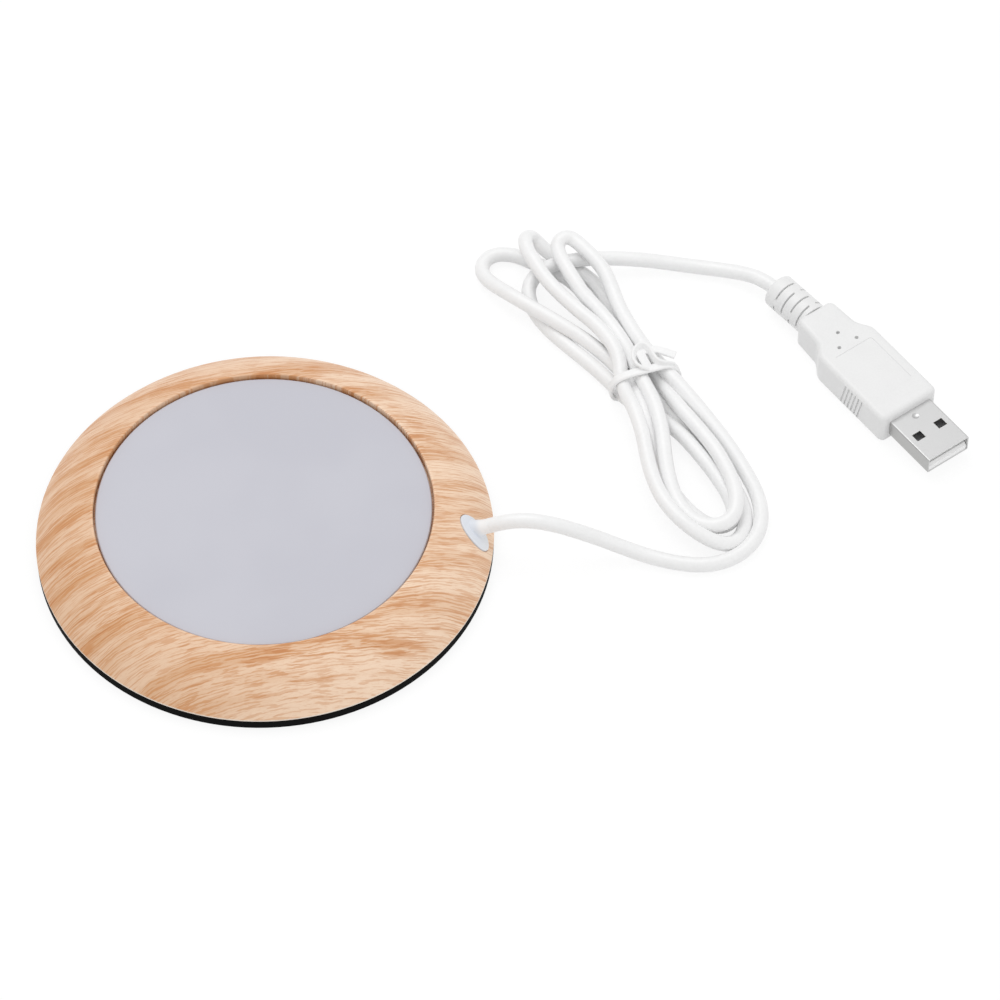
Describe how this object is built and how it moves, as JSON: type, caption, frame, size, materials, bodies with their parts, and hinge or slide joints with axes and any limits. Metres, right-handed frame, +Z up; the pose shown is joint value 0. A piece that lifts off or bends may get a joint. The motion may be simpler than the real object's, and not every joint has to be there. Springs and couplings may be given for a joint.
{
  "type": "electric mug warmer",
  "caption": "Low round cup warmer: domed wood-look ring round a sunk round heating plate, thin black base, white cord in a tied hank, USB plug",
  "frame": {"origin": "centre of the warmer's underside, on the surface it stands on", "axes": "+Z up; +X from the centre of the warmer towards the cord grommet; +Y to the left of +X seen from above"},
  "size_m": [0.2128, 0.1461, 0.0141],
  "materials": {
    "wood_print": "satin printed wood grain, clear coated",
    "plate_paint": "satin light lavender grey",
    "seal": "soft silicone",
    "adhesive": "thin thermal sheet",
    "foil": "etched resistance foil",
    "film": "amber heater film",
    "solder": "solder, tin coloured",
    "felt": "needled insulating felt",
    "zinc_steel": "zinc plated pressed steel",
    "thermostat_case": "moulded thermostat case",
    "wire_red": "insulated wire",
    "wire_black": "insulated wire",
    "screw_steel": "zinc plated screws",
    "black_plastic": "fine textured black moulding",
    "black_rubber": "non-slip pad",
    "white_pvc": "white flexible cord jacket",
    "white_moulding": "satin white moulding",
    "tie_coat": "plastic coated tie wire",
    "nickel": "bright nickel plate",
    "contact_gold": "plated contacts",
    "clamp_plastic": "moulded clamp"
  },
  "bodies": {
    "root": {"ring_cover": "wood_print", "heating_plate": "plate_paint", "plate_seal": "seal", "thermal_sheet": "adhesive", "heater_track": "foil", "heater_film": "film", "solder_joints": "solder", "insulation_felt": "felt", "pressure_plate": "zinc_steel", "plate_screws": "screw_steel", "thermostat": "thermostat_case", "thermostat_clip": "zinc_steel", "live_wire": "wire_red", "link_wire": "wire_red", "return_wire": "wire_black", "inner_cord": "white_pvc", "cord_clamp": "clamp_plastic", "clamp_screws": "screw_steel", "base_tray": "black_plastic", "base_pad": "black_rubber", "case_screws": "screw_steel", "cord_grommet": "white_moulding", "cord_lead": "white_pvc", "cord_hank": "white_pvc", "cord_tail": "white_pvc", "twist_tie": "tie_coat", "plug_boot": "white_moulding", "plug_body": "white_moulding", "plug_shell": "nickel", "plug_tongue": "white_moulding", "plug_contacts": "contact_gold"}
  },
  "joints": []
}
